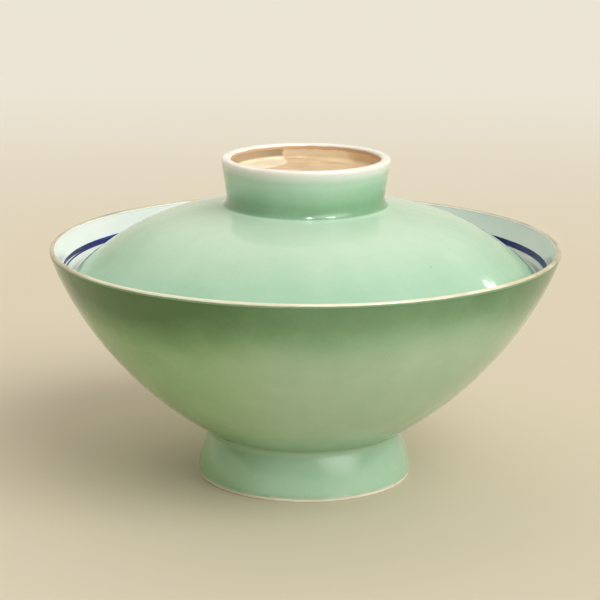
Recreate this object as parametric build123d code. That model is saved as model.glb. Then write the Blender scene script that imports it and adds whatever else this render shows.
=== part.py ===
from build123d import *

import os
from math import copysign, cos, radians, sin, sqrt, tan

# A donburi bowl with a domed lid that drops into its mouth, in millimetres, +Z up.
# The origin is the centre of the plane that the foot stands on.
# Every piece is turned about Z, so each one is drawn as a half section in (radius, height).
# A slope is a rise from level in degrees, going outwards, so the lid's slopes are negative.
# A depth is measured square to a wall, from its glazed outer face towards its hollow.

# Bowl
RIM_DIAMETER = 156.8
BOWL_HEIGHT = 72.8
RIM_SLOPE = 71.8
RIM_PULL = 18.7  # length over which the wall leans towards its slope at the rim
NECK_HEIGHT = 14.5
NECK_SLOPE = 28.6
NECK_PULL = 28.8  # length over which the wall leans towards its slope at the neck
WALL_THICKNESS = 4.4  # at the neck, thinning to the lip
LIP_THICKNESS = 1.9

# Foot ring
FOOT_DIAMETER = 66.7
FOOT_FLARE = 4.1  # radius that the foot gains from its neck to the floor
FOOT_BULGE = 0.75
FOOT_SEAT_WIDTH = 2.0  # width of the joint between the ring's top and the bowl
FOOT_EDGE_ROUND = 0.8
FOOT_BARE_EDGE = 0.9  # height left unglazed above the floor
NECK_FILLET = 2.0  # glaze pooled in the corner above the foot

# Lid
LID_SEAT_DEPTH = 10.7  # from the top of the bowl's lip down to where the lid touches the wall
LID_SEAT_GAP = 0.3
LID_RISE = 21.5  # from the lid's edge up to the foot of its grip
LID_EDGE_SLOPE = -41.5
LID_EDGE_PULL = 27.3
LID_CROWN_SLOPE = -12.8
LID_CROWN_PULL = 17.1
LID_THICKNESS = 3.8  # at the grip, thinning to the edge
LID_EDGE_THICKNESS = 2.6

# Grip ring on the lid
GRIP_DIAMETER = 52.0
GRIP_FLARE = 2.1  # radius that the grip gains from the lid to its top
GRIP_HEIGHT = 14.5
GRIP_LIP_THICKNESS = 3.0
GRIP_LIP_ROUND = 1.0
GRIP_BARE_LIP = 1.4  # height left unglazed below the top
GRIP_FILLET = 3.5  # glaze pooled in the corner round the grip
WELL_DEPTH = 4.4
WELL_TAPER = 0.7
WELL_ROUND = 1.0

# Coats and painting
CELADON = 0.5
CLEAR = 0.35
WASH = 0.3
BAND_DEPTH = 6.1  # from the top of the bowl's lip down to the blue band
BAND_WIDTH = 1.85
BAND_THICKNESS = 0.2

TOUCHING = 1e-6  # ends of curves that are closer than this already meet
ROUND_SHARE = 0.6  # most of a side that a round in its corner may take
SEARCH_STEPS = 60


def at(radius, height):
    return Vector(radius, height)


def along(slope):
    return Vector(cos(radians(slope)), sin(radians(slope)))


def across(slope):
    return Vector(-sin(radians(slope)), cos(radians(slope)))


def quarter_round(start, heading, end, end_heading):
    """A quarter circle as a cubic curve, which meshes more evenly than an arc once turned."""
    radius = (end - start).length / sqrt(2)
    handle = radius * 4 / 3 * tan(radians(90) / 4)
    return Bezier(start, start + heading * handle, end - end_heading * handle, end)


class Cap:
    """A round floor or crown, tangent to a wall at a point and level on the axis."""

    def __init__(self, point, slope):
        self.centre = point.Y + point.X / tan(radians(slope))
        self.radius = point.X / sin(radians(abs(slope)))
        self.side = copysign(1, slope)
        self.reach = point.X

    def height(self, radius):
        return self.centre - self.side * sqrt(self.radius**2 - radius**2)

    def arc(self, start, end):
        middle = (start + end) / 2
        return ThreePointArc(*(at(r, self.height(r)) for r in (start, middle, end)))


class Wall:
    """A wall's half section, from its inner end near the axis to its outer end at the lip."""

    def __init__(self, inner, inner_slope, inner_pull, outer, outer_slope, outer_pull):
        self.inner = inner
        self.inner_slope = inner_slope
        self.inner_pull = inner_pull
        self.outer = outer
        self.outer_slope = outer_slope
        self.outer_pull = outer_pull
        self.hollow_side = copysign(1, inner_slope)

    def inner_point(self, depth):
        return self.inner + across(self.inner_slope) * self.hollow_side * depth

    def outer_point(self, depth):
        return self.outer + across(self.outer_slope) * self.hollow_side * depth

    def curve(self, inner_depth, outer_depth):
        start = self.inner_point(inner_depth)
        end = self.outer_point(outer_depth)
        stretch = (end - start).length / (self.outer - self.inner).length
        inner_handle = start + along(self.inner_slope) * self.inner_pull * stretch
        outer_handle = end - along(self.outer_slope) * self.outer_pull * stretch
        return Bezier(start, inner_handle, outer_handle, end)

    def lip(self, near_depth, far_depth):
        """A half-round from one depth to another, as two quarters that meet at its tip."""
        near = self.outer_point(near_depth)
        far = self.outer_point(far_depth)
        outwards = along(self.outer_slope)
        over = (far - near).normalized()
        tip = (near + far) / 2 + outwards * (far - near).length / 2
        return quarter_round(near, outwards, tip, over), quarter_round(tip, over, far, -outwards)

    def cap(self, depth):
        return Cap(self.inner_point(depth), self.inner_slope)


def section(*runs):
    """The face inside curves given head to tail, with straight lines across their gaps."""
    edges = list(runs)
    for run, following in zip(runs, runs[1:] + runs[:1]):
        if (following @ 0 - run @ 1).length > TOUCHING:
            edges.append(Line(run @ 1, following @ 0))
    return make_face(edges)


def back(curve):
    return curve.reversed(reconstruct=True)


def rounded(face, point, radius):
    """The face with the corner at a point rounded, as far as the sides there leave room."""
    corner = face.vertices().sort_by_distance(point)[0]
    sides = [side for side in face.edges() if corner in side.vertices()]
    room = min(side.length for side in sides)
    return fillet(corner, min(radius, ROUND_SHARE * room))


def level_slab(low, high):
    """A face between two heights that is wider than any piece."""
    return Pos(0, (low + high) / 2) * Rectangle(2 * RIM_DIAMETER, high - low)


def turned(face):
    """The solid of a half section, with its faces kept apart where the section's edges are."""
    return revolve(Plane.XZ * face, Axis.Z, clean=False)


def curve_share_at_height(curve, height):
    """How far along a rising curve a height is reached, from 0 to 1."""
    low, high = 0.0, 1.0
    for _ in range(SEARCH_STEPS):
        middle = (low + high) / 2
        if (curve @ middle).Y < height:
            low = middle
        else:
            high = middle
    return low


# Reference points of the bowl
rim_round = LIP_THICKNESS / 2
rim = at(
    RIM_DIAMETER / 2 - rim_round * (1 - sin(radians(RIM_SLOPE))),
    BOWL_HEIGHT - rim_round * (1 + cos(radians(RIM_SLOPE))),
)
foot_radius = FOOT_DIAMETER / 2
neck = at(foot_radius - FOOT_FLARE, NECK_HEIGHT)
bowl_wall = Wall(neck, NECK_SLOPE, NECK_PULL, rim, RIM_SLOPE, RIM_PULL)
bowl_underside = bowl_wall.cap(CELADON)
foot_inner_radius = bowl_underside.reach - FOOT_SEAT_WIDTH

# The lid's half-round edge lies against the inside of the bowl's wall
bowl_inside = bowl_wall.curve(WALL_THICKNESS, LIP_THICKNESS)
seat_share = curve_share_at_height(bowl_inside, BOWL_HEIGHT - LID_SEAT_DEPTH)
seat = bowl_inside @ seat_share
seat_heading = bowl_inside % seat_share
lid_edge_round = LID_EDGE_THICKNESS / 2
lid_edge_centre = seat + at(-seat_heading.Y, seat_heading.X) * (lid_edge_round + LID_SEAT_GAP)
lid_edge = lid_edge_centre + across(LID_EDGE_SLOPE) * lid_edge_round

# Reference points of the lid and its grip
grip_radius = GRIP_DIAMETER / 2
grip_foot = at(grip_radius - GRIP_FLARE, lid_edge.Y + LID_RISE)
grip_top = grip_foot.Y + GRIP_HEIGHT
grip_glaze_top = grip_top - GRIP_BARE_LIP
lid_wall = Wall(
    grip_foot, LID_CROWN_SLOPE, LID_CROWN_PULL, lid_edge, LID_EDGE_SLOPE, LID_EDGE_PULL
)
lid_crown = lid_wall.cap(CELADON)
well_radius = grip_radius - GRIP_LIP_THICKNESS
well_floor = grip_top - WELL_DEPTH


def foot_side(depth):
    base = at(foot_radius - depth, 0)
    return SagittaArc(base, bowl_wall.inner_point(depth), -FOOT_BULGE)


def grip_side(height, depth):
    share = (height - grip_foot.Y) / GRIP_HEIGHT
    return at(grip_foot.X + GRIP_FLARE * share - depth, height)


def grip_base(depth):
    radius = grip_foot.X - depth
    return at(radius, lid_crown.height(radius))


def well_side(height, depth):
    share = (grip_top - height) / WELL_DEPTH
    return at(well_radius - WELL_TAPER * share + depth, height)


def bowl_body():
    """Porcelain shell of the bowl, with a half-round lip and a round floor.

    Its underside is two faces, one for the foot ring and one for the coat inside it.
    """
    inner = WALL_THICKNESS - CLEAR
    floor = bowl_wall.cap(inner)
    return section(
        bowl_wall.curve(CELADON, CELADON),
        *bowl_wall.lip(CELADON, LIP_THICKNESS - CLEAR),
        back(bowl_wall.curve(inner, LIP_THICKNESS - CLEAR)),
        floor.arc(floor.reach, 0),
        bowl_underside.arc(0, foot_inner_radius),
        bowl_underside.arc(foot_inner_radius, bowl_underside.reach),
    )


def bowl_foot_ring():
    """Porcelain ring luted under the bowl."""
    ring = section(
        foot_side(CELADON),
        bowl_underside.arc(bowl_underside.reach, foot_inner_radius),
        Line(at(foot_inner_radius, bowl_underside.height(foot_inner_radius)), at(foot_inner_radius, 0)),
    )
    ring = rounded(ring, at(foot_radius - CELADON, 0), FOOT_EDGE_ROUND)
    return rounded(ring, at(foot_inner_radius, 0), FOOT_EDGE_ROUND)


def bowl_celadon_glaze():
    """Green coat over the outside of the bowl and its foot, ending above the floor."""
    coat = section(
        foot_side(0),
        bowl_wall.curve(0, 0),
        back(bowl_wall.curve(CELADON, CELADON)),
        back(foot_side(CELADON)),
    )
    coat = rounded(coat, neck, NECK_FILLET)
    return coat - level_slab(-FOOT_BARE_EDGE, FOOT_BARE_EDGE)


def bowl_base_glaze():
    """Clear coat inside the foot ring and under the bowl."""
    low = bowl_wall.cap(CELADON - CLEAR)
    inner_radius = foot_inner_radius - CLEAR
    return section(
        bowl_underside.arc(0, foot_inner_radius),
        Line(at(foot_inner_radius, FOOT_BARE_EDGE), at(inner_radius, FOOT_BARE_EDGE)),
        low.arc(inner_radius, 0),
    )


def bowl_inner_coat(depth):
    """Coat of a depth over the inside of the bowl, from its floor to its lip."""
    coat_floor = bowl_wall.cap(WALL_THICKNESS)
    body_floor = bowl_wall.cap(WALL_THICKNESS - depth)
    return section(
        bowl_wall.curve(WALL_THICKNESS - depth, LIP_THICKNESS - depth),
        back(bowl_inside),
        coat_floor.arc(coat_floor.reach, 0),
        body_floor.arc(0, body_floor.reach),
    )


def bowl_blue_band():
    """Cobalt line round the inside, level with the face of the clear coat."""
    top = BOWL_HEIGHT - BAND_DEPTH
    return bowl_inner_coat(BAND_THICKNESS) & level_slab(top - BAND_WIDTH, top)


def bowl_inner_glaze():
    """Clear coat over the white inside of the bowl, with the band let into it."""
    return bowl_inner_coat(CLEAR) - bowl_blue_band()


def bowl_rim_edge():
    """Iron-brown coat over the bowl's lip."""
    return section(
        *bowl_wall.lip(0, LIP_THICKNESS),
        *bowl_wall.lip(LIP_THICKNESS - CLEAR, CELADON),
    )


def lid_body():
    """Porcelain dome of the lid, with a half-round edge and a round crown.

    Its crown is two faces, one for the grip and one for the coat round the grip.
    """
    inner = LID_THICKNESS - CLEAR
    ceiling = lid_wall.cap(inner)
    grip_reach = grip_base(CELADON).X
    return section(
        lid_crown.arc(0, grip_reach),
        lid_crown.arc(grip_reach, lid_crown.reach),
        lid_wall.curve(CELADON, CELADON),
        *lid_wall.lip(CELADON, LID_EDGE_THICKNESS - CLEAR),
        back(lid_wall.curve(inner, LID_EDGE_THICKNESS - CLEAR)),
        ceiling.arc(ceiling.reach, 0),
    )


def lid_inner_glaze():
    """Clear coat over the white inside of the lid."""
    inner = LID_THICKNESS - CLEAR
    ceiling = lid_wall.cap(inner)
    coat_ceiling = lid_wall.cap(LID_THICKNESS)
    return section(
        ceiling.arc(0, ceiling.reach),
        lid_wall.curve(inner, LID_EDGE_THICKNESS - CLEAR),
        back(lid_wall.curve(LID_THICKNESS, LID_EDGE_THICKNESS)),
        coat_ceiling.arc(coat_ceiling.reach, 0),
    )


def lid_rim_edge():
    """Iron-brown coat over the lid's edge."""
    return section(
        *lid_wall.lip(0, LID_EDGE_THICKNESS),
        *lid_wall.lip(LID_EDGE_THICKNESS - CLEAR, CELADON),
    )


def lid_grip():
    """Porcelain ring grip luted on the crown, with a shallow well in its top."""
    lip_outer = grip_side(grip_top, 0)
    lip_inner = well_side(grip_top, 0)
    corner = well_side(well_floor - WASH, WASH)
    outline = Polyline(
        grip_base(CELADON),
        grip_side(grip_glaze_top, CELADON),
        grip_side(grip_glaze_top, 0),
        lip_outer,
        lip_inner,
        well_side(grip_glaze_top, 0),
        well_side(grip_glaze_top, WASH),
        corner,
        at(0, corner.Y),
    )
    grip = section(outline, lid_crown.arc(0, grip_base(CELADON).X))
    grip = rounded(grip, lip_outer, GRIP_LIP_ROUND)
    grip = rounded(grip, lip_inner, GRIP_LIP_ROUND)
    return rounded(grip, corner, WELL_ROUND + WASH)


def lid_well_wash():
    """Ochre coat over the floor and side of the well."""
    corner = well_side(well_floor, 0)
    seat_corner = well_side(well_floor - WASH, WASH)
    wash = section(
        Polyline(
            at(0, seat_corner.Y),
            seat_corner,
            well_side(grip_glaze_top, WASH),
            well_side(grip_glaze_top, 0),
            corner,
            at(0, corner.Y),
        )
    )
    wash = rounded(wash, seat_corner, WELL_ROUND + WASH)
    return rounded(wash, corner, WELL_ROUND)


def lid_celadon_glaze():
    """Green coat over the dome and the side of the grip."""
    coat = section(
        back(lid_wall.curve(0, 0)),
        Polyline(
            grip_foot,
            grip_side(grip_glaze_top, 0),
            grip_side(grip_glaze_top, CELADON),
            grip_base(CELADON),
        ),
        lid_crown.arc(grip_base(CELADON).X, lid_crown.reach),
        lid_wall.curve(CELADON, CELADON),
    )
    return rounded(coat, grip_foot, GRIP_FILLET)


PIECES = (
    bowl_body,
    bowl_foot_ring,
    bowl_celadon_glaze,
    bowl_base_glaze,
    bowl_inner_glaze,
    bowl_blue_band,
    bowl_rim_edge,
    lid_body,
    lid_grip,
    lid_celadon_glaze,
    lid_inner_glaze,
    lid_rim_edge,
    lid_well_wash,
)

os.makedirs("parts", exist_ok=True)
for piece in PIECES:
    export_step(turned(piece()), f"parts/{piece.__name__}.step")
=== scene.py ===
from math import atan2, copysign, cos, pi, radians, sin, sqrt, tan

import bmesh
import bpy
from mathutils import Matrix, Vector, noise


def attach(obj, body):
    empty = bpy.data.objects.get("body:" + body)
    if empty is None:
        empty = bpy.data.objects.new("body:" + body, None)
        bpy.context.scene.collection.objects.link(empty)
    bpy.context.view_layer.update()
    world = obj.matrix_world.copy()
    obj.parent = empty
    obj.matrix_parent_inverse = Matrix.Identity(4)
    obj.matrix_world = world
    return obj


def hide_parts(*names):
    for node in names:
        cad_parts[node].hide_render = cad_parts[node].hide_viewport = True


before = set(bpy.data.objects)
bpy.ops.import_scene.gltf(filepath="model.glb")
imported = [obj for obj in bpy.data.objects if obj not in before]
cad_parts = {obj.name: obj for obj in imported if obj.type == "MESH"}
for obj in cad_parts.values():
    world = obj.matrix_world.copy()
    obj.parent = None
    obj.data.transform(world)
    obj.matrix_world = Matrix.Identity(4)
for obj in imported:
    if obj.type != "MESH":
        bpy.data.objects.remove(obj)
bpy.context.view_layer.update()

# Sizes of the solids, in millimetres: they are the part's own, so each piece lies where its node does
MM = 0.001
RIM_DIAMETER = 156.8
BOWL_HEIGHT = 72.8
RIM_SLOPE = 71.8
RIM_PULL = 18.7
NECK_HEIGHT = 14.5
NECK_SLOPE = 28.6
NECK_PULL = 28.8
WALL_THICKNESS = 4.4
LIP_THICKNESS = 1.9
FOOT_DIAMETER = 66.7
FOOT_FLARE = 4.1
FOOT_BULGE = 0.75
FOOT_SEAT_WIDTH = 2.0
FOOT_BARE_EDGE = 0.9
NECK_FILLET = 2.0
LID_EDGE = Vector((71.54, 63.844))
LID_RISE = 21.5
LID_EDGE_SLOPE = -41.5
LID_EDGE_PULL = 27.3
LID_CROWN_SLOPE = -12.8
LID_CROWN_PULL = 17.1
LID_THICKNESS = 3.8
LID_EDGE_THICKNESS = 2.6
GRIP_DIAMETER = 52.0
GRIP_FLARE = 2.1
GRIP_HEIGHT = 14.5
GRIP_LIP_THICKNESS = 3.0
GRIP_BARE_LIP = 1.4
GRIP_FILLET = 3.5
WELL_DEPTH = 4.4
WELL_TAPER = 0.7
WELL_ROUND = 1.0
CELADON = 0.5
CLEAR = 0.35
WASH = 0.3
BAND_DEPTH = 6.1
BAND_WIDTH = 1.85

# Fineness of the turned pieces
SEGMENTS = 288
WALL_POINTS = 72
CAP_POINTS = 28
ARC_POINTS = 14
SIDE_POINTS = 24
ON_AXIS = 1e-6
SHARP_ANGLE = radians(50)

# Hand-made unevenness, always into the glaze and never out of the solid's outline
RELIEF = 0.11
BROAD_WAVE = 34.0
BROAD_SHARE = 0.38
SMALL_WAVE = 12.24
SMALL_SHARE = 0.16
SMALL_SHIFT = Vector((7.3, 1.9, 4.1))
RING_RELIEF = 0.025
RING_WAVE = 7.5
RING_WANDER = 1.5

# Shares of the unevenness on the thinner coats
CLEAR_UNEVEN = 0.8
WASH_UNEVEN = 0.7


def along(slope):
    return Vector((cos(radians(slope)), sin(radians(slope))))


def across(slope):
    return Vector((-sin(radians(slope)), cos(radians(slope))))


def straight(start, end, count):
    return [start.lerp(end, index / count) for index in range(count + 1)]


def bezier(a, b, c, d, count):
    points = []
    for index in range(count + 1):
        t = index / count
        s = 1 - t
        points.append(a * s**3 + b * 3 * s * s * t + c * 3 * s * t * t + d * t**3)
    return points


class Wall:
    """A wall's half section, from its inner end near the axis to its outer end at the lip."""

    def __init__(self, inner, inner_slope, inner_pull, outer, outer_slope, outer_pull):
        self.inner = inner
        self.inner_slope = inner_slope
        self.inner_pull = inner_pull
        self.outer = outer
        self.outer_slope = outer_slope
        self.outer_pull = outer_pull
        self.hollow_side = copysign(1, inner_slope)

    def inner_point(self, depth):
        return self.inner + across(self.inner_slope) * self.hollow_side * depth

    def outer_point(self, depth):
        return self.outer + across(self.outer_slope) * self.hollow_side * depth

    def curve(self, inner_depth, outer_depth):
        start = self.inner_point(inner_depth)
        end = self.outer_point(outer_depth)
        stretch = (end - start).length / (self.outer - self.inner).length
        inner_handle = start + along(self.inner_slope) * self.inner_pull * stretch
        outer_handle = end - along(self.outer_slope) * self.outer_pull * stretch
        return bezier(start, inner_handle, outer_handle, end, WALL_POINTS)

    def lip(self, near_depth, far_depth):
        near = self.outer_point(near_depth)
        far = self.outer_point(far_depth)
        middle = (near + far) / 2
        out = along(self.outer_slope) * (far - near).length / 2
        points = []
        for index in range(ARC_POINTS + 1):
            turn = pi * index / ARC_POINTS
            points.append(middle + (near - middle) * cos(turn) + out * sin(turn))
        return points

    def cap(self, depth, start=None, end=0):
        """The round floor or crown from one radius to another, by default from the wall to the axis."""
        point = self.inner_point(depth)
        centre = point.y + point.x / tan(radians(self.inner_slope))
        radius = point.x / sin(radians(abs(self.inner_slope)))
        start = point.x if start is None else start
        points = []
        for index in range(CAP_POINTS + 1):
            reach = start + (end - start) * index / CAP_POINTS
            points.append(Vector((reach, centre - self.hollow_side * sqrt(radius**2 - reach**2))))
        return points


def bowed(start, end, bulge):
    """An arc that bulges to the right of the way from its start to its end."""
    chord = end - start
    radius = (chord.length**2 / 4 + bulge**2) / (2 * bulge)
    right = Vector((chord.y, -chord.x)).normalized()
    centre = (start + end) / 2 - right * (radius - bulge)
    first = atan2(*(start - centre).yx)
    last = atan2(*(end - centre).yx)
    points = []
    for index in range(SIDE_POINTS + 1):
        turn = first + (last - first) * index / SIDE_POINTS
        points.append(centre + Vector((cos(turn), sin(turn))) * radius)
    return points


def walked(points, distance):
    """The point at a distance along points, and the points after it."""
    for index in range(len(points) - 1):
        step = (points[index + 1] - points[index]).length
        if step > distance:
            share = distance / step
            return points[index].lerp(points[index + 1], share), points[index + 1:]
        distance -= step
    return points[-1], []


def filleted(before, after, radius):
    """Two runs that meet in a corner, joined by a round of about a radius."""
    corner = before[-1]
    heading = (before[-1] - before[-2]).normalized()
    following = (after[1] - after[0]).normalized()
    reach = radius * tan(heading.angle(following) / 2)
    start, kept_before = walked(before[::-1], reach)
    end, kept_after = walked(after, reach)
    arc = []
    for index in range(ARC_POINTS + 1):
        t = index / ARC_POINTS
        arc.append(start * (1 - t) ** 2 + corner * 2 * t * (1 - t) + end * t * t)
    return kept_before[::-1] + arc + kept_after


def fade(value, start, end):
    """0 up to the start, 1 from the end on, and smooth between them."""
    share = min(max((value - start) / (end - start), 0), 1)
    return share * share * (3 - 2 * share)


def unevenness(x, y, z):
    """How far a glaze's face lies under its even face at a place, all in millimetres."""
    place = Vector((x, y, z))
    broad = noise.noise(place / BROAD_WAVE)
    small = noise.noise(place / SMALL_WAVE + SMALL_SHIFT)
    rings = sin(2 * pi * z / RING_WAVE + RING_WANDER * broad)
    waves = RELIEF * (0.5 + BROAD_SHARE * broad + SMALL_SHARE * small)
    return waves + RING_RELIEF * (0.5 + 0.5 * rings)


def new_object(name, points, faces):
    mesh = bpy.data.meshes.new(name)
    mesh.from_pydata([tuple(c * MM for c in point) for point in points], [], faces)
    shell = bmesh.new()
    shell.from_mesh(mesh)
    bmesh.ops.recalc_face_normals(shell, faces=shell.faces)
    shell.to_mesh(mesh)
    shell.free()
    mesh.polygons.foreach_set("use_smooth", [True] * len(mesh.polygons))
    mesh.set_sharp_from_angle(angle=SHARP_ANGLE)
    piece = bpy.data.objects.new(name, mesh)
    bpy.context.scene.collection.objects.link(piece)
    return piece


def stands_for(piece, node, body):
    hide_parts(node)
    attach(piece, body)
    return piece


def lathe(name, outline, relief=None, warp=None):
    """Turns a half section about Z.

    The section runs with its solid on the left. It closes on itself, or starts and ends on the axis.
    relief(point) gives the share of the unevenness there, and warp(point, angle) moves a point.
    """
    on_axis = outline[0].x < ON_AXIS
    count = len(outline)
    points = []
    rows = []
    for index, flat in enumerate(outline):
        if on_axis and index in (0, count - 1):
            rows.append([len(points)] * SEGMENTS)
            points.append((0, 0, flat.y))
            continue
        before = outline[index - 1]
        after = outline[(index + 1) % count]
        way = (after - before).normalized()
        inwards = Vector((-way.y, way.x))
        share = relief(flat) if relief else 0
        row = []
        for step in range(SEGMENTS):
            angle = 2 * pi * step / SEGMENTS
            place = warp(flat, angle) if warp else flat
            if share:
                x, y = place.x * cos(angle), place.x * sin(angle)
                place = place + inwards * share * unevenness(x, y, place.y)
            row.append(len(points))
            points.append((place.x * cos(angle), place.x * sin(angle), place.y))
        rows.append(row)
    faces = []
    last = count - 1 if on_axis else count
    for index in range(last):
        low = rows[index]
        high = rows[(index + 1) % count]
        for step in range(SEGMENTS):
            turn = (step + 1) % SEGMENTS
            corners = [low[step], low[turn], high[turn], high[step]]
            faces.append(list(dict.fromkeys(corners)))
    return new_object(name, points, faces)


def on_face(face, share=1.0):
    """A relief that leaves all but a face as it is."""
    return lambda point: share if point in face else 0


# Reference points, as in the solids
rim_round = LIP_THICKNESS / 2
rim = Vector((
    RIM_DIAMETER / 2 - rim_round * (1 - sin(radians(RIM_SLOPE))),
    BOWL_HEIGHT - rim_round * (1 + cos(radians(RIM_SLOPE))),
))
foot_radius = FOOT_DIAMETER / 2
neck = Vector((foot_radius - FOOT_FLARE, NECK_HEIGHT))
bowl_wall = Wall(neck, NECK_SLOPE, NECK_PULL, rim, RIM_SLOPE, RIM_PULL)
underside_radius = bowl_wall.inner_point(CELADON).x
foot_inner = underside_radius - FOOT_SEAT_WIDTH
grip_radius = GRIP_DIAMETER / 2
grip_foot = Vector((grip_radius - GRIP_FLARE, LID_EDGE.y + LID_RISE))
grip_top = grip_foot.y + GRIP_HEIGHT
grip_glaze_top = grip_top - GRIP_BARE_LIP
well_radius = grip_radius - GRIP_LIP_THICKNESS
well_floor = grip_top - WELL_DEPTH
lid_wall = Wall(
    grip_foot, LID_CROWN_SLOPE, LID_CROWN_PULL, LID_EDGE, LID_EDGE_SLOPE, LID_EDGE_PULL
)


def foot_side(depth):
    base = Vector((foot_radius - depth, 0))
    return bowed(base, bowl_wall.inner_point(depth), FOOT_BULGE)


def grip_side(height, depth):
    share = (height - grip_foot.y) / GRIP_HEIGHT
    return Vector((grip_foot.x + GRIP_FLARE * share - depth, height))


def well_side(height, depth):
    share = (grip_top - height) / WELL_DEPTH
    return Vector((well_radius - WELL_TAPER * share + depth, height))


def above(points, height):
    return [point for point in points if point.y > height]


# Glaze over the outside of the bowl, with a rounded wavy edge above the bare foot
EDGE_BEAD = 0.8
EDGE_WAVE = 0.22
EDGE_WAVE_TOP = 9.0
EDGE_SWELLS = 2.1
EDGE_RIPPLES = 6.7
RIPPLE_SHARE = 0.45
RIPPLE_SHIFT = Vector((3, 1, 5))
EVEN_FOOT_TOP = 2
UNEVEN_FOOT = 7


def foot_glaze_edge():
    """The glaze's rounded lower edge, from its hidden back out to its face."""
    bead_top = FOOT_BARE_EDGE + EDGE_BEAD
    face = above(foot_side(0), bead_top)[0]
    hidden = above(foot_side(CELADON), FOOT_BARE_EDGE)[0]
    points = []
    for index in range(ARC_POINTS):
        turn = pi / 2 * index / ARC_POINTS
        radius = hidden.x + (face.x - hidden.x) * sin(turn)
        points.append(Vector((radius, bead_top - EDGE_BEAD * cos(turn))))
    return points


def foot_edge_wave(point, angle):
    if point.y > EDGE_WAVE_TOP:
        return point
    low = fade(point.y, EDGE_WAVE_TOP, FOOT_BARE_EDGE)
    turn = Vector((cos(angle), sin(angle), 0))
    ripple = noise.noise(turn * EDGE_RIPPLES + RIPPLE_SHIFT)
    wave = noise.noise(turn * EDGE_SWELLS) + RIPPLE_SHARE * ripple
    return point + Vector((0, EDGE_WAVE * wave * low))


def make_bowl_glaze():
    face = filleted(
        above(foot_side(0), FOOT_BARE_EDGE + EDGE_BEAD), bowl_wall.curve(0, 0), NECK_FILLET
    )
    back = above(foot_side(CELADON), FOOT_BARE_EDGE + EDGE_WAVE) + bowl_wall.curve(CELADON, CELADON)

    def relief(point):
        return fade(point.y, EVEN_FOOT_TOP, UNEVEN_FOOT) if point in face else 0

    outline = foot_glaze_edge() + face + back[::-1]
    return lathe("bowl_glaze", outline, relief=relief, warp=foot_edge_wave)


# Porcelain foot ring with a worn edge, and the clear coat inside it
WORN_EDGE = 0.4
RING_CORNER = 1.2


def make_foot_ring():
    outer = Vector((foot_radius - CELADON, 0))
    inner = Vector((foot_inner, 0))
    middle = (outer + inner) / 2
    joint = bowl_wall.cap(CELADON, underside_radius, foot_inner)
    outer_run = filleted([middle, outer], foot_side(CELADON), WORN_EDGE)
    inner_run = filleted([joint[-1], inner], [inner, middle], WORN_EDGE)
    return lathe("foot_ring", outer_run + joint[1:-1] + inner_run[:-1])


def make_base_glaze():
    coat_radius = foot_inner - CLEAR
    under = bowl_wall.cap(CELADON - CLEAR, 0, coat_radius)
    face = filleted(under, [under[-1], Vector((coat_radius, FOOT_BARE_EDGE))], RING_CORNER)
    hidden = [Vector((foot_inner, FOOT_BARE_EDGE))] + bowl_wall.cap(CELADON, foot_inner)
    return lathe("base_glaze", face + hidden, relief=on_face(face[1:-1], CLEAR_UNEVEN))


# Iron edges on the two lips
def make_bowl_rim():
    face = bowl_wall.lip(0, LIP_THICKNESS)
    hidden = bowl_wall.lip(CELADON, LIP_THICKNESS - CLEAR)
    return lathe("bowl_rim", face + hidden[::-1], relief=on_face(face))


def make_lid_rim():
    face = lid_wall.lip(0, LID_EDGE_THICKNESS)
    hidden = lid_wall.lip(CELADON, LID_EDGE_THICKNESS - CLEAR)
    return lathe("lid_rim", face[::-1] + hidden)


# White insides of the bowl and the lid
inside_wall = bowl_wall.curve(WALL_THICKNESS, LIP_THICKNESS)


def make_bowl_inside():
    face = inside_wall[::-1] + bowl_wall.cap(WALL_THICKNESS)[1:]
    hidden = bowl_wall.cap(WALL_THICKNESS - CLEAR)[::-1]
    hidden += bowl_wall.curve(WALL_THICKNESS - CLEAR, LIP_THICKNESS - CLEAR)[1:]
    return lathe("bowl_inside", hidden + face, relief=on_face(face, CLEAR_UNEVEN))


def make_lid_inside():
    face = lid_wall.cap(LID_THICKNESS)[::-1] + lid_wall.curve(LID_THICKNESS, LID_EDGE_THICKNESS)[1:]
    hidden = lid_wall.curve(LID_THICKNESS - CLEAR, LID_EDGE_THICKNESS - CLEAR)[::-1]
    hidden += lid_wall.cap(LID_THICKNESS - CLEAR)[1:]
    return lathe("lid_inside", face + hidden, relief=on_face(face, CLEAR_UNEVEN))


# Cobalt line brushed round the inside, which parts into a broad and a fine stroke on one side
BRUSH_PROUD = 0.03
BRUSH_PROUD_EDGE = 0.35
BRUSH_DEEP = 0.12
BRUSH_STEPS = 8
BRUSH_LEVEL = 0.4
BRUSH_HAIRS = 60
HAIR_REACH = 0.05
TOP_MARGIN = 0.10
TOP_WAVES = 2.3
TOP_WANDER = 0.09
LOW_MARGIN = 0.12
LOW_WAVES = 3.1
LOW_WANDER = 0.10
LOW_SHIFT = Vector((4, 0, 2))
SPLIT_MIDDLE = radians(188)
SPLIT_REACH = radians(28)
SPLIT_WIDTH = 0.7
FINE_STROKE = 0.42
band_top = BOWL_HEIGHT - BAND_DEPTH


def inside_radius(height):
    for low, high in zip(inside_wall, inside_wall[1:]):
        if low.y <= height <= high.y:
            return low.x + (high.x - low.x) * (height - low.y) / (high.y - low.y)
    return inside_wall[-1].x


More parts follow.
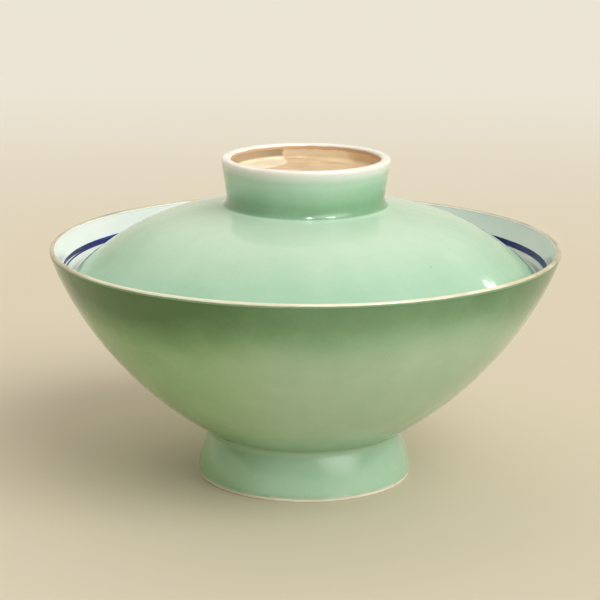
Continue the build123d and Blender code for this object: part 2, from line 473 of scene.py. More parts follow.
def brushed_edges(angle):
    """The lower and upper edges of the broad and the fine stroke at an angle."""
    turn = Vector((cos(angle), sin(angle), BRUSH_LEVEL))
    ragged = HAIR_REACH * noise.noise(turn * BRUSH_HAIRS)
    top_wander = TOP_WANDER * noise.noise(turn * TOP_WAVES)
    low_wander = LOW_WANDER * noise.noise(turn * LOW_WAVES + LOW_SHIFT)
    top = band_top - TOP_MARGIN + top_wander + ragged
    low = band_top - BAND_WIDTH + LOW_MARGIN + low_wander - ragged
    away = abs((angle - SPLIT_MIDDLE + pi) % (2 * pi) - pi)
    parting = SPLIT_WIDTH * fade(away, SPLIT_REACH, 0)
    return (low + FINE_STROKE + parting, top), (low, low + FINE_STROKE)


def stroke_section(low, high):
    """Corners of one stroke's section, as a radius and a height each, face first."""
    corners = []
    for step in range(BRUSH_STEPS + 1):
        share = step / BRUSH_STEPS
        height = low + (high - low) * share
        proud = BRUSH_PROUD * min(1, 4 * share * (1 - share) + BRUSH_PROUD_EDGE)
        corners.append((inside_radius(height) - proud, height))
    corners.append((inside_radius(high) + BRUSH_DEEP, high))
    corners.append((inside_radius(low) + BRUSH_DEEP, low))
    return corners


def make_blue_line():
    points = []
    faces = []
    for stroke in (0, 1):
        rows = []
        for step in range(SEGMENTS * 2):
            angle = pi * step / SEGMENTS
            row = []
            for radius, height in stroke_section(*brushed_edges(angle)[stroke]):
                row.append(len(points))
                points.append((radius * cos(angle), radius * sin(angle), height))
            rows.append(row)
        for row, following in zip(rows, rows[1:] + rows[:1]):
            for index in range(len(row)):
                turn = (index + 1) % len(row)
                faces.append([row[index], row[turn], following[turn], following[index]])
    return new_object("blue_line", points, faces)


# Glaze over the lid and the side of its grip, even near its two edges
EVEN_LID_EDGE = 5
EVEN_GRIP_EDGE = 4


def make_lid_glaze():
    rise = straight(grip_foot, grip_side(grip_glaze_top, 0), SIDE_POINTS)
    face = filleted(lid_wall.curve(0, 0)[::-1], rise, GRIP_FILLET)
    hidden = lid_wall.curve(CELADON, CELADON)
    corner = Vector((grip_side(grip_foot.y, CELADON).x, hidden[0].y))

    def relief(point):
        if point not in face:
            return 0
        from_edge = fade(point.x, LID_EDGE.x, LID_EDGE.x - EVEN_LID_EDGE)
        return from_edge * fade(point.y, grip_glaze_top, grip_glaze_top - EVEN_GRIP_EDGE)

    outline = face + [grip_side(grip_glaze_top, CELADON), corner] + hidden
    return lathe("lid_glaze", outline, relief=relief)


# Porcelain grip with a round lip, and the ochre wash in its well
LIP_ROUND = 1.15


def make_grip():
    crown = lid_wall.cap(CELADON, 0, grip_foot.x - CELADON)
    lip_outer = grip_side(grip_top, 0)
    lip_inner = well_side(grip_top, 0)
    lip_middle = (lip_outer + lip_inner) / 2
    seat = well_side(well_floor - WASH, WASH)
    side = [grip_side(grip_glaze_top, CELADON), grip_side(grip_glaze_top, 0), lip_outer]
    well = [lip_inner, well_side(grip_glaze_top, 0), well_side(grip_glaze_top, WASH), seat]
    outer_run = filleted(crown + side, [lip_outer, lip_middle], LIP_ROUND)
    inner_run = filleted([lip_middle, lip_inner], well, LIP_ROUND)
    inner_run = filleted(inner_run, [seat, Vector((0, seat.y))], WELL_ROUND + WASH)
    return lathe("grip_ring", outer_run + inner_run[1:])


def make_well_wash():
    seat = well_side(well_floor - WASH, WASH)
    corner = well_side(well_floor, 0)
    hidden = [seat, well_side(grip_glaze_top, WASH)]
    outer = filleted([Vector((0, seat.y)), seat], hidden, WELL_ROUND + WASH)
    side = straight(well_side(grip_glaze_top, 0), corner, ARC_POINTS)
    face = filleted(side, straight(corner, Vector((0, corner.y)), CAP_POINTS), WELL_ROUND)
    return lathe("well_wash", outer + face, relief=on_face(face[1:-1], WASH_UNEVEN))


bowl_glaze = stands_for(make_bowl_glaze(), "bowl_celadon_glaze", "bowl")
foot_ring = stands_for(make_foot_ring(), "bowl_foot_ring", "bowl")
base_glaze = stands_for(make_base_glaze(), "bowl_base_glaze", "bowl")
bowl_rim = stands_for(make_bowl_rim(), "bowl_rim_edge", "bowl")
bowl_inside = stands_for(make_bowl_inside(), "bowl_inner_glaze", "bowl")
blue_line = stands_for(make_blue_line(), "bowl_blue_band", "bowl")
lid_glaze = stands_for(make_lid_glaze(), "lid_celadon_glaze", "lid")
lid_rim = stands_for(make_lid_rim(), "lid_rim_edge", "lid")
lid_inside = stands_for(make_lid_inside(), "lid_inner_glaze", "lid")
grip_ring = stands_for(make_grip(), "lid_grip", "lid")
well_wash = stands_for(make_well_wash(), "lid_well_wash", "lid")


# Materials
def paint(red, green, blue):
    """A colour as a screen shows it, from 0 to 255, as the renderer's own."""
    linear = []
    for part in (red, green, blue):
        share = part / 255
        linear.append(share / 12.92 if share < 0.04045 else ((share + 0.055) / 1.055) ** 2.4)
    return (*linear, 1)


class Finish:
    """Builds the nodes of one material, with its places and sizes in millimetres."""

    def __init__(self, name):
        self.material = bpy.data.materials.new(name)
        self.material.use_nodes = True
        self.tree = self.material.node_tree
        self.shader = self.tree.nodes["Principled BSDF"]
        self.place = self.node("ShaderNodeTexCoord").outputs["Object"]
        parts = self.node("ShaderNodeSeparateXYZ")
        self.put(parts.inputs[0], self.place)
        self.x, self.y, self.z = [self.math("DIVIDE", part, MM) for part in parts.outputs]
        across_x = self.math("MULTIPLY", self.x, self.x)
        self.radius = self.math("SQRT", self.math("MULTIPLY_ADD", self.y, self.y, across_x))

    def node(self, kind, **settings):
        node = self.tree.nodes.new(kind)
        for name, value in settings.items():
            setattr(node, name, value)
        return node

    def put(self, socket, value):
        if isinstance(value, bpy.types.NodeSocket):
            self.tree.links.new(value, socket)
        else:
            socket.default_value = value

    def math(self, operation, *values, clamp=False):
        node = self.node("ShaderNodeMath", operation=operation, use_clamp=clamp)
        for socket, value in zip(node.inputs, values):
            self.put(socket, value)
        return node.outputs[0]

    def times(self, first, second):
        return self.math("MULTIPLY", first, second)

    def plus(self, first, second):
        return self.math("ADD", first, second)

    def fade(self, value, start, end, low=0.0, high=1.0):
        """low up to the start, high from the end on, and smooth between them."""
        node = self.node("ShaderNodeMapRange", interpolation_type="SMOOTHSTEP")
        for socket, given in zip(node.inputs, (value, start, end, low, high)):
            self.put(socket, given)
        return node.outputs[0]

    def noise(self, scale, detail=2.0, roughness=0.5, stretch=(1, 1, 1)):
        """Soft noise from 0 to 1, with a scale in waves per metre."""
        place = self.place
        if stretch != (1, 1, 1):
            mapping = self.node("ShaderNodeMapping")
            self.put(mapping.inputs["Vector"], place)
            mapping.inputs["Scale"].default_value = stretch
            place = mapping.outputs[0]
        node = self.node("ShaderNodeTexNoise")
        self.put(node.inputs["Vector"], place)
        node.inputs["Scale"].default_value = scale
        node.inputs["Detail"].default_value = detail
        node.inputs["Roughness"].default_value = roughness
        return node.outputs["Fac"]

    def ragged(self, value, scale, reach, detail=3):
        """A value pushed up or down by noise, by at most half the reach."""
        swing = self.math("SUBTRACT", self.noise(scale, detail), 0.5)
        return self.math("MULTIPLY_ADD", swing, reach, value)

    def specks(self, scale, size, rarity):
        """1 in a few small round dots, from a cell pattern of which most cells are left empty."""
        cells = self.node("ShaderNodeTexVoronoi")
        self.put(cells.inputs["Vector"], self.place)
        cells.inputs["Scale"].default_value = scale
        chance = self.node("ShaderNodeSeparateColor")
        self.put(chance.inputs[0], cells.outputs["Color"])
        dot = self.fade(cells.outputs["Distance"], size, size * 0.4)
        return self.times(dot, self.math("GREATER_THAN", chance.outputs[0], rarity))

    def mix(self, share, first, second, blend="MIX"):
        node = self.node("ShaderNodeMix", data_type="RGBA", blend_type=blend)
        self.put(node.inputs[0], share)
        self.put(node.inputs[6], first)
        self.put(node.inputs[7], second)
        return node.outputs[2]

    def tint(self, share, colour, filtered):
        """A colour seen through a filter's colour, by a share from 0 to 1."""
        return self.mix(share, colour, filtered, "MULTIPLY")

    def ramp(self, value, *stops):
        node = self.node("ShaderNodeValToRGB")
        self.put(node.inputs[0], value)
        elements = node.color_ramp.elements
        while len(elements) < len(stops):
            elements.new(0.5)
        for element, (position, colour) in zip(elements, stops):
            element.position = position
            element.color = colour
        return node.outputs[0]

    def bump(self, height, distance, strength=1.0):
        node = self.node("ShaderNodeBump")
        node.inputs["Strength"].default_value = strength
        node.inputs["Distance"].default_value = distance * MM
        self.put(node.inputs["Height"], height)
        self.put(self.shader.inputs["Normal"], node.outputs[0])

    def finish(self, colour, roughness, ior=1.5):
        self.put(self.shader.inputs["Base Color"], colour)
        self.put(self.shader.inputs["Roughness"], roughness)
        self.shader.inputs["IOR"].default_value = ior
        return self.material


# Colours that more than one finish shares, and the glaze's from thin to pooled
GLAZE_THIN = paint(228, 237, 230)
GLAZE_PALE = paint(202, 223, 200)
GLAZE_LIGHT = paint(186, 212, 184)
GLAZE_MIDDLE = paint(158, 193, 158)
GLAZE_DEEP = paint(119, 158, 117)
GLAZE_POOLED = paint(84, 120, 79)
PORCELAIN = paint(250, 248, 240)
OCHRE = paint(206, 167, 130)
CLEAR_WHITE = paint(242, 246, 244)

# Filters that shift the glaze's hue; the olive one is painted warm bounce light on the bowl's shaded left
OLIVE = (0.95, 1.0, 0.76, 1)
MINT = (0.89, 1.0, 1.03, 1)

# Swings of the glaze's depth, from 0 for pale to 1 for pooled, by broad, cloudy and fine noise
BROAD_SWING = 0.26
CLOUDY_SWING = 0.14
FINE_SWING = 0.05

# Strengths of the dark and the pale specks in it
DARK_SPECKS = 0.5
PALE_SPECKS = 0.6


def celadon(finish, depth, thin, *tints):
    """Green glaze, deeper where its depth is raised, by thick glaze and by the painted shade that callers
    add, pale where it is thin, and uneven in its hue.

    Each tint is a share and a filter's colour.
    """
    broad = finish.noise(28, 3)
    cloudy = finish.noise(120, 4, 0.6)
    uneven = finish.math("MULTIPLY_ADD", broad, BROAD_SWING, finish.times(cloudy, CLOUDY_SWING))
    uneven = finish.math("MULTIPLY_ADD", finish.noise(900), FINE_SWING, uneven)
    mean = (BROAD_SWING + CLOUDY_SWING + FINE_SWING) / 2
    depth = finish.math("ADD", depth, finish.math("SUBTRACT", uneven, mean), clamp=True)
    colour = finish.ramp(
        depth,
        (0.0, GLAZE_PALE),
        (0.25, GLAZE_LIGHT),
        (0.5, GLAZE_MIDDLE),
        (0.75, GLAZE_DEEP),
        (1.0, GLAZE_POOLED),
    )
    for share, filtered in tints:
        colour = finish.tint(share, colour, filtered)
    dark = finish.times(finish.specks(330, 0.09, 0.97), DARK_SPECKS)
    pale = finish.times(finish.specks(260, 0.09, 0.97), PALE_SPECKS)
    colour = finish.mix(dark, colour, paint(96, 112, 78))
    colour = finish.mix(pale, colour, paint(226, 236, 216))
    colour = finish.mix(thin, colour, GLAZE_THIN)
    waves = finish.math("MULTIPLY_ADD", finish.noise(75), 0.8, finish.times(finish.noise(520), 0.06))
    finish.bump(waves, 0.6, 0.5)
    return finish.finish(colour, finish.fade(cloudy, 0.25, 0.75, 0.07, 0.14))


# Depths of the bowl's glaze: up its wall, above the foot and on its left and right. The deep band under
# the rim is partly the glaze's own and partly painted shade, and the deeper left and right are painted
# shade
WALL_DEPTH = 0.34
RIM_DEPTH = 0.82
RIM_DEPTH_START = 50
POOL_DEPTH = 0.22
POOL_RISE = 11
OLIVE_START = 5
OLIVE_FULL = -50
LEFT_SHADE_DEPTH = 0.18
LEFT_SHADE_RIM_DEPTH = 0.30
OLIVE_RIM_START = 45
RIGHT_SHADE_DEPTH = 0.09
RIGHT_START = 25
RIGHT_FULL = 70

# How thin the glaze is at its edge above the bare foot, and how minty the foot is
EDGE_THINNESS = 0.7
THIN_EDGE = 0.9
FOOT_MINT = 0.9


def bowl_celadon():
    finish = Finish("celadon_bowl")
    high = finish.ragged(finish.z, 26, 6)
    # Deeper green under the rim: partly the glaze's own darker band, partly painted shade
    under_rim = finish.fade(high, RIM_DEPTH_START, BOWL_HEIGHT - 1, WALL_DEPTH, RIM_DEPTH)
    on_wall = finish.fade(finish.z, neck.y - 0.4, neck.y + 1.2)
    low = finish.fade(finish.z, neck.y + POOL_RISE, neck.y + 0.5, 0.0, POOL_DEPTH)
    pooled = finish.times(on_wall, low)
    edge = finish.ragged(finish.z, 240, 1.1)
    thin = finish.fade(edge, FOOT_BARE_EDGE + THIN_EDGE, FOOT_BARE_EDGE, 0.0, EDGE_THINNESS)
    # Olive towards the left: painted warm bounce light from the floor on the shaded side
    olive = finish.fade(finish.ragged(finish.x, 16, 45), OLIVE_START, OLIVE_FULL)
    mint = finish.fade(finish.z, neck.y + 1.0, neck.y - 1.5, 0.0, FOOT_MINT)
    # Deeper glaze on the left, more towards the rim: painted shade
    left = finish.fade(finish.z, OLIVE_RIM_START, BOWL_HEIGHT - 4, LEFT_SHADE_DEPTH, LEFT_SHADE_RIM_DEPTH)
    # Deeper glaze towards the right: painted shade
    right = finish.fade(finish.ragged(finish.x, 20, 30), RIGHT_START, RIGHT_FULL, 0.0, RIGHT_SHADE_DEPTH)
    depth = finish.math("MULTIPLY_ADD", olive, left, finish.plus(under_rim, pooled))
    return celadon(finish, finish.plus(depth, right), thin, (olive, OLIVE), (mint, MINT))


# Depths of the lid's glaze: from its crown to its edge, at its back, and down its grip. The deepening
# towards the edge and up the grip's right is painted shade, and down the grip it is partly pooled glaze
# and partly painted shade
CROWN_DEPTH = 0.14
LID_EDGE_SHADE_DEPTH = 0.42
CROWN_REACH = 36
BACK_DEPTH = 0.15
BACK_START = -38
BACK_FULL = 4
GRIP_TOP_DEPTH = 0.06
GRIP_FOOT_DEPTH = 0.68
GRIP_RIGHT_SHADE_DEPTH = 0.12
GRIP_RIGHT_START = 8
GRIP_RIGHT_FULL = 26
GRIP_THIN_EDGE = 2.8


def lid_celadon():
    finish = Finish("celadon_lid")
    behind = finish.fade(finish.ragged(finish.y, 18, 24), BACK_START, BACK_FULL, 0.0, BACK_DEPTH)
    # Deeper from the crown towards the edge: painted shade
    outwards = finish.fade(finish.radius, CROWN_REACH, LID_EDGE.x, CROWN_DEPTH, LID_EDGE_SHADE_DEPTH)
    on_grip = finish.fade(finish.radius, grip_foot.x + 2.1, grip_foot.x + 1.1)
    # Deeper down the grip: partly glaze pooled at its foot, partly painted shade
    down_grip = finish.fade(
        finish.z, grip_glaze_top, grip_foot.y + 1.0, GRIP_TOP_DEPTH, GRIP_FOOT_DEPTH
    )
    # Deeper glaze up the grip's right side: painted shade
    high = finish.fade(finish.z, grip_foot.y + 4, grip_glaze_top - 4, 0.0, GRIP_RIGHT_SHADE_DEPTH)
    right = finish.fade(finish.ragged(finish.x, 20, 12), GRIP_RIGHT_START, GRIP_RIGHT_FULL)
    grip_depth = finish.times(on_grip, finish.plus(down_grip, finish.times(high, right)))
    depth = finish.math("MAXIMUM", finish.plus(behind, outwards), grip_depth)
    edge = finish.ragged(finish.z, 190, 0.7)
    thin = finish.fade(edge, grip_glaze_top - GRIP_THIN_EDGE, grip_glaze_top + 0.1)
    mint = finish.math("MAXIMUM", on_grip, finish.fade(depth, 0.0, 0.5, 0.2, 1.0))
    return celadon(finish, depth, thin, (mint, MINT))


def clear_glaze():
    finish = Finish("clear_white")
    cloudy = finish.noise(45, 4, 0.55)
    colour = finish.ramp(cloudy, (0.3, paint(234, 240, 238)), (0.7, CLEAR_WHITE))
    colour = finish.mix(finish.specks(240, 0.07, 0.98), colour, paint(170, 166, 144))
    finish.bump(finish.noise(90), 0.4, 0.4)
    return finish.finish(colour, finish.fade(cloudy, 0.3, 0.7, 0.08, 0.15))


# Depths below the lip's top to which the iron reaches, and how much paler it is in front, as a painted
# highlight
IRON_INSIDE = 0.3
IRON_OUTSIDE = 0.62
FRONT_PALER = 0.35
FRONT_START = -20
FRONT_FULL = -70


def iron_rim():
    """Iron on the crest of the lip, with the green coat outside it and the white inside it."""
    finish = Finish("iron_rim_glaze")
    brushed = finish.noise(60, 3, 0.55)
    # Paler towards the front: a painted highlight over the iron's own uneven tone
    front = finish.fade(finish.y, FRONT_START, FRONT_FULL)
    tone = finish.math("MULTIPLY_ADD", front, FRONT_PALER, finish.times(brushed, 0.8))
    iron = finish.ramp(
        tone,
        (0.25, paint(164, 148, 116)),
        (0.5, paint(206, 196, 163)),
        (0.75, paint(232, 228, 204)),
    )
    crest = RIM_DIAMETER / 2 - rim_round
    reach = finish.fade(finish.radius, crest - 0.3, crest + 0.3, IRON_INSIDE, IRON_OUTSIDE)
    lowest = finish.math("SUBTRACT", BOWL_HEIGHT, reach)
    rise = finish.math("SUBTRACT", finish.ragged(finish.z, 260, 0.25), lowest)
    covered = finish.fade(rise, -0.14, 0.10)
    outside = finish.fade(finish.radius, crest - 0.1, crest + 0.1)
    beside = finish.mix(outside, CLEAR_WHITE, GLAZE_DEEP)
    finish.bump(finish.noise(300), 0.1, 0.4)
    return finish.finish(finish.mix(covered, beside, iron), finish.fade(brushed, 0.3, 0.7, 0.10, 0.18))


# Depths below the lid's edge at which the white starts and is full
LID_WHITE_START = 1.2
LID_WHITE_FULL = 1.7


def lid_edge_glaze():
    """The lid's edge, olive where the green coat runs over the iron, painted nearly black as shadow of
    the gap between lid and bowl, and white underneath.
    """
    finish = Finish("lid_edge_glaze")
    brushed = finish.noise(70, 3, 0.55)
    # Near-black olive: painted shadow of the gap between the lid's edge and the bowl, over the iron edge
    olive = finish.ramp(brushed, (0.3, paint(30, 42, 26)), (0.7, paint(56, 72, 44)))
    low = finish.ragged(finish.z, 200, 0.3)
    under = finish.fade(low, LID_EDGE.y - LID_WHITE_START, LID_EDGE.y - LID_WHITE_FULL)
    finish.bump(finish.noise(300), 0.1, 0.4)
    return finish.finish(finish.mix(under, olive, CLEAR_WHITE), finish.fade(brushed, 0.3, 0.7, 0.4, 0.55))


def cobalt():
    finish = Finish("cobalt_brushed")
    streaks = finish.noise(420, 3, 0.6, (0.10, 0.10, 4.0))
    wash = finish.noise(38, 3, 0.6)
    tone = finish.math("MULTIPLY_ADD", streaks, 0.6, finish.times(wash, 0.4))
    colour = finish.ramp(
        tone,
        (0.34, paint(4, 12, 50)),
        (0.52, paint(12, 34, 108)),
        (0.70, paint(60, 94, 174)),
    )
    finish.bump(streaks, 0.1, 0.4)
    return finish.finish(colour, finish.fade(wash, 0.3, 0.7, 0.22, 0.34), ior=1.3)


# Stain on the foot's worn edge, with its height, and in the clay's pores
WORN_STAIN = 0.6
WORN_HEIGHT = 0.3
PORE_STAIN = 0.6


def bare_clay():
    finish = Finish("porcelain_bare")
    grain = finish.noise(1900, 4, 0.7)
    stain = finish.noise(160, 3, 0.6)
    colour = finish.ramp(stain, (0.3, paint(232, 224, 202)), (0.7, paint(247, 243, 228)))
    worn = finish.fade(finish.ragged(finish.z, 500, 0.3), WORN_HEIGHT, 0.0, 0.0, WORN_STAIN)
    colour = finish.mix(worn, colour, paint(176, 162, 134))
    pores = finish.times(finish.specks(900, 0.14, 0.92), PORE_STAIN)
    colour = finish.mix(pores, colour, paint(150, 134, 106))
    finish.bump(grain, 0.2, 0.7)
    return finish.finish(colour, finish.fade(grain, 0.3, 0.7, 0.5, 0.7))


def fired_clay():
    finish = Finish("porcelain_fired")
    cloudy = finish.noise(150, 4, 0.6)
    colour = finish.ramp(cloudy, (0.3, paint(240, 236, 222)), (0.65, PORCELAIN))
    finish.bump(finish.noise(1400, 3), 0.08, 0.5)
    return finish.finish(colour, finish.fade(cloudy, 0.3, 0.7, 0.3, 0.45))


# Depths below the grip's top at which the ochre starts and is full
LIP_OCHRE_START = 0.55
LIP_OCHRE_FULL = 0.8


def grip_lip():
    """White lip of the grip, with the ochre drawn a little way up its inner edge."""
    finish = Finish("porcelain_lip")
    cloudy = finish.noise(150, 4, 0.6)
    colour = finish.ramp(cloudy, (0.3, paint(238, 234, 224)), (0.65, paint(247, 245, 238)))
    inner = finish.fade(finish.radius, well_radius + 0.8, well_radius + 0.5)
    edge = finish.ragged(finish.z, 260, 0.5)
    low = finish.fade(edge, grip_top - LIP_OCHRE_START, grip_top - LIP_OCHRE_FULL)
    colour = finish.mix(finish.times(inner, low), colour, OCHRE)
    finish.bump(finish.noise(1100, 3), 0.05, 0.4)
    return finish.finish(colour, finish.fade(cloudy, 0.3, 0.7, 0.14, 0.24))


# The wash was brushed on thinly and is thicker on one side. In a round place at the back left it is
# partly wiped off, with painted light on the floor and painted shade on the wall
WIPED_LIT_MIDDLE = Vector((-20, 16))
WIPED_LIT_RADIUS = 14.0
WIPED_LIT_SHARE = 0.92
THICK_EDGE = 14.2
THICK_SHARE = 0.6
# The paler paint on the wall and its right floor corner, painted light against the shade there: a share
# and a reach
PALE_SHARE = 0.75
PALE_CORNER = 6
BROWN_EDGE = 0.7
BROWN_SHARE = 0.6


def wiped_and_lit_place(finish):
    """How far the round place with a ragged edge takes over, nearly all: the wash partly wiped off, with
    painted light on the floor and painted shade on the wall.
    """
    aside = finish.math("SUBTRACT", finish.x, WIPED_LIT_MIDDLE.x)
    behind = finish.math("SUBTRACT", finish.y, WIPED_LIT_MIDDLE.y)
    squares = finish.math("MULTIPLY_ADD", aside, aside, finish.times(behind, behind))
    away = finish.ragged(finish.math("SQRT", squares), 170, 4, 5)
    return finish.fade(away, WIPED_LIT_RADIUS + 0.5, WIPED_LIT_RADIUS - 0.5, 0.0, WIPED_LIT_SHARE)


def ochre_wash():
    finish = Finish("ochre_brushed")
    broad = finish.noise(150, 6, 0.72)
    streaks = finish.noise(300, 4, 0.65, (0.7, 1.5, 1.0))
    tone = finish.math("MULTIPLY_ADD", streaks, 0.2, finish.times(broad, 0.8))
    colour = finish.ramp(
        tone,
        (0.36, paint(190, 152, 110)),
        (0.5, paint(213, 181, 140)),
        (0.64, paint(229, 204, 168)),
    )
    on_wall = finish.fade(finish.z, well_floor + 0.3, well_floor + 1.2)
    # Wall painted paler than the floor, most on the right and in the right floor corner: painted light
    # against the shade on the well's wall
    wall = finish.mix(finish.fade(finish.x, -2, 12), paint(218, 200, 170), paint(246, 226, 186))
    well_edge = well_side(well_floor, 0).x
    corner = finish.fade(finish.radius, well_edge - PALE_CORNER, well_edge - 2)
    corner = finish.times(corner, finish.fade(finish.x, 1, 8))
    pale = finish.math("MAXIMUM", on_wall, corner)
    colour = finish.mix(finish.times(pale, PALE_SHARE), colour, wall)
    beside = finish.ragged(finish.x, 150, 6, 5)
    thick = finish.fade(beside, THICK_EDGE - 1, THICK_EDGE + 1, 0.0, THICK_SHARE)
    colour = finish.mix(thick, colour, paint(218, 176, 134))
    # In the round place the floor is pale, partly bare of wash and partly painted light, and the wall
    # darker towards the place's edge, partly thicker wash and partly painted shade
    bare_and_lit = finish.ramp(tone, (0.36, paint(232, 214, 180)), (0.6, paint(247, 237, 208)))
    shade_and_thick_wash = finish.mix(finish.fade(finish.x, -16, -9), paint(173, 150, 121), paint(146, 128, 98))
    colour = finish.mix(wiped_and_lit_place(finish), colour, finish.mix(on_wall, bare_and_lit, shade_and_thick_wash))
    high = finish.ragged(finish.z, 420, 1.2)
    brown = finish.fade(high, grip_glaze_top - BROWN_EDGE, grip_glaze_top, 0.0, BROWN_SHARE)
    brown = finish.times(brown, finish.fade(finish.x, -12, -3, 0.35, 1.0))
    colour = finish.mix(brown, colour, paint(190, 142, 110))
    finish.bump(finish.math("MULTIPLY_ADD", streaks, 0.5, finish.noise(1500, 3)), 0.12, 0.5)
    return finish.finish(colour, finish.fade(broad, 0.3, 0.7, 0.30, 0.48))


def wear(piece, material):
    piece.data.materials.clear()
    piece.data.materials.append(material)


def refinish(node, material):
    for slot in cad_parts[node].material_slots:
        slot.material = material


white_inside = clear_glaze()
hidden_clay = fired_clay()
wear(bowl_glaze, bowl_celadon())
wear(foot_ring, bare_clay())
wear(base_glaze, white_inside)
wear(bowl_rim, iron_rim())
wear(bowl_inside, white_inside)
wear(blue_line, cobalt())
wear(lid_glaze, lid_celadon())
wear(lid_rim, lid_edge_glaze())
wear(lid_inside, white_inside)
wear(grip_ring, grip_lip())
wear(well_wash, ochre_wash())
refinish("bowl_body", hidden_clay)
refinish("lid_body", hidden_clay)


# Floor, round and curved up at its far edge, with the distances at which the backdrop blends in
FLOOR_RADIUS = 5400
COVE = 600
FLOOR_EDGE_HEIGHT = 1200
FLOOR_ROUGHNESS = 0.75
BACKDROP_START = 250
BACKDROP_FULL = 900
BACKDROP = paint(236, 229, 213)


def make_floor():
    centre = Vector((FLOOR_RADIUS - COVE, COVE))
    section = straight(Vector((0, 0)), Vector((FLOOR_RADIUS - COVE, 0)), SIDE_POINTS)
    for index in range(1, ARC_POINTS + 1):
        turn = pi / 2 * index / ARC_POINTS
        section.append(centre + Vector((sin(turn), -cos(turn))) * COVE)
    section.append(Vector((FLOOR_RADIUS, FLOOR_EDGE_HEIGHT)))
    points = [(0, 0, 0)]
    faces = []
    for row, flat in enumerate(section[1:]):
        for step in range(SEGMENTS):
            angle = 2 * pi * step / SEGMENTS
            points.append((flat.x * cos(angle), flat.x * sin(angle), flat.y))
            here = 1 + row * SEGMENTS
            turn = (step + 1) % SEGMENTS
            if row == 0:
                faces.append([0, here + step, here + turn])
            else:
                below = here - SEGMENTS
                faces.append([below + step, here + step, here + turn, below + turn])
    return new_object("floor", points, faces)


def floor_paint():
    """Pale paint, which away from the object shows as an even backdrop that adds no light."""
    finish = Finish("floor_pale")
    colour = finish.ramp(finish.noise(3), (0.3, paint(207, 196, 173)), (0.7, paint(210, 200, 178)))
    rays = finish.node("ShaderNodeLightPath").outputs
    seen = finish.math("MAXIMUM", rays["Is Camera Ray"], rays["Is Glossy Ray"])
    seen = finish.math("MAXIMUM", seen, rays["Is Transmission Ray"])
    glow = finish.node("ShaderNodeEmission")
    glow.inputs["Color"].default_value = BACKDROP
    blend = finish.node("ShaderNodeMixShader")
    away = finish.fade(finish.radius, BACKDROP_START, BACKDROP_FULL)
    finish.put(blend.inputs[0], finish.times(seen, away))
    finish.put(blend.inputs[1], finish.shader.outputs[0])
    finish.put(blend.inputs[2], glow.outputs[0])
    finish.put(finish.tree.nodes["Material Output"].inputs["Surface"], blend.outputs[0])
    return finish.finish(colour, FLOOR_ROUGHNESS)


floor = make_floor()
wear(floor, floor_paint())


# Small bright lamps for the glints: a place in metres, a width, a depth and a power each
LAMP_COLOUR = (1.0, 0.99, 0.97)
LAMP_TARGET = Vector((0, 0, 0.06))
SMALL_LAMPS = {
    "window": ((0.915, 0.918, 0.845), 0.02, 0.02, 0.4),
    "ceiling": ((0.096, -0.674, 1.435), 0.10, 0.10, 9.0),
    "ceiling_right": ((0.619, -0.502, 1.369), 0.20, 0.06, 7.5),
}


def add_lamp(name, place, width, depth, power):
    """A lamp that shows in the gloss only, and lights nothing."""
    light = bpy.data.lights.new(name, "AREA")
    light.shape = "RECTANGLE"
    light.size = width
    light.size_y = depth
    light.energy = power
    light.color = LAMP_COLOUR
    lamp = bpy.data.objects.new(name, light)
    bpy.context.scene.collection.objects.link(lamp)
    lamp.location = place
    lamp.rotation_euler = (LAMP_TARGET - Vector(place)).to_track_quat("-Z", "Y").to_euler()
    lamp.visible_diffuse = False


for lamp_name, lamp_values in SMALL_LAMPS.items():
    add_lamp(lamp_name, *lamp_values)


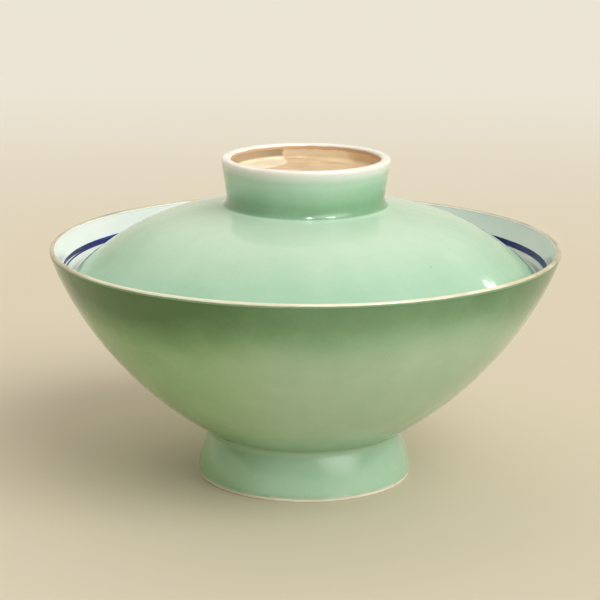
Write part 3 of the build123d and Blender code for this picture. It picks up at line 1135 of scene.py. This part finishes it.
class Sky:
    """Soft light from all round, as glows that fade out away from their middles."""

    def __init__(self):
        world = bpy.data.worlds.new("room")
        world.use_nodes = True
        bpy.context.scene.world = world
        self.nodes = world.node_tree.nodes
        self.links = world.node_tree.links
        self.towards = self.nodes.new("ShaderNodeTexCoord").outputs["Generated"]
        self.light = None

    def glow(self, middle, edge, colour, strength):
        """A glow round a direction, out to where the cosine of the angle from it is the edge."""
        cosine = self.nodes.new("ShaderNodeVectorMath")
        cosine.operation = "DOT_PRODUCT"
        self.links.new(self.towards, cosine.inputs[0])
        cosine.inputs[1].default_value = Vector(middle).normalized()
        share = self.nodes.new("ShaderNodeMapRange")
        share.interpolation_type = "SMOOTHSTEP"
        self.links.new(cosine.outputs["Value"], share.inputs["Value"])
        share.inputs["From Min"].default_value = edge
        share.inputs["To Max"].default_value = strength
        total = self.nodes.new("ShaderNodeVectorMath")
        total.operation = "MULTIPLY_ADD"
        self.links.new(share.outputs[0], total.inputs[0])
        total.inputs[1].default_value = colour
        total.inputs[2].default_value = (0, 0, 0)
        if self.light:
            self.links.new(self.light, total.inputs[2])
        self.light = total.outputs[0]
        self.links.new(self.light, self.nodes["Background"].inputs["Color"])


# The sky's glows: a middle, an edge, a colour and a strength each
DAYLIGHT = (1.0, 0.99, 0.965)
WARM = (1.0, 0.90, 0.74)
GLOWS = {
    "overhead": ((0, 0, 1), 0.0, DAYLIGHT, 0.58),
    "front right": ((0.66, -0.66, 0.78), 0.82, DAYLIGHT, 4.4),
    "behind": ((0, 1, 0.2), -0.2, WARM, 0.72),
}
sky = Sky()
for glow_values in GLOWS.values():
    sky.glow(*glow_values)

# Camera, at the photograph's place: metres, millimetres for the lens, and radians
CAMERA_PLACE = (0, -0.65948, 0.21728)
CAMERA_NEAR = 0.01
SENSOR_WIDTH = 36
LENS = 131.53
TURNED_LEFT = radians(0.136)
LOOKING_DOWN = 0.2416
ROLLED = 0.0049
camera_data = bpy.data.cameras.new("camera")
camera_data.sensor_width = SENSOR_WIDTH
camera_data.lens = LENS
camera_data.clip_start = CAMERA_NEAR
camera = bpy.data.objects.new("camera", camera_data)
bpy.context.scene.collection.objects.link(camera)
turns = (
    Matrix.Rotation(TURNED_LEFT, 4, "Z")
    @ Matrix.Rotation(radians(90) - LOOKING_DOWN, 4, "X")
    @ Matrix.Rotation(ROLLED, 4, "Z")
)
camera.matrix_world = Matrix.Translation(CAMERA_PLACE) @ turns
bpy.context.scene.camera = camera
bpy.context.scene.view_settings.view_transform = "Standard"
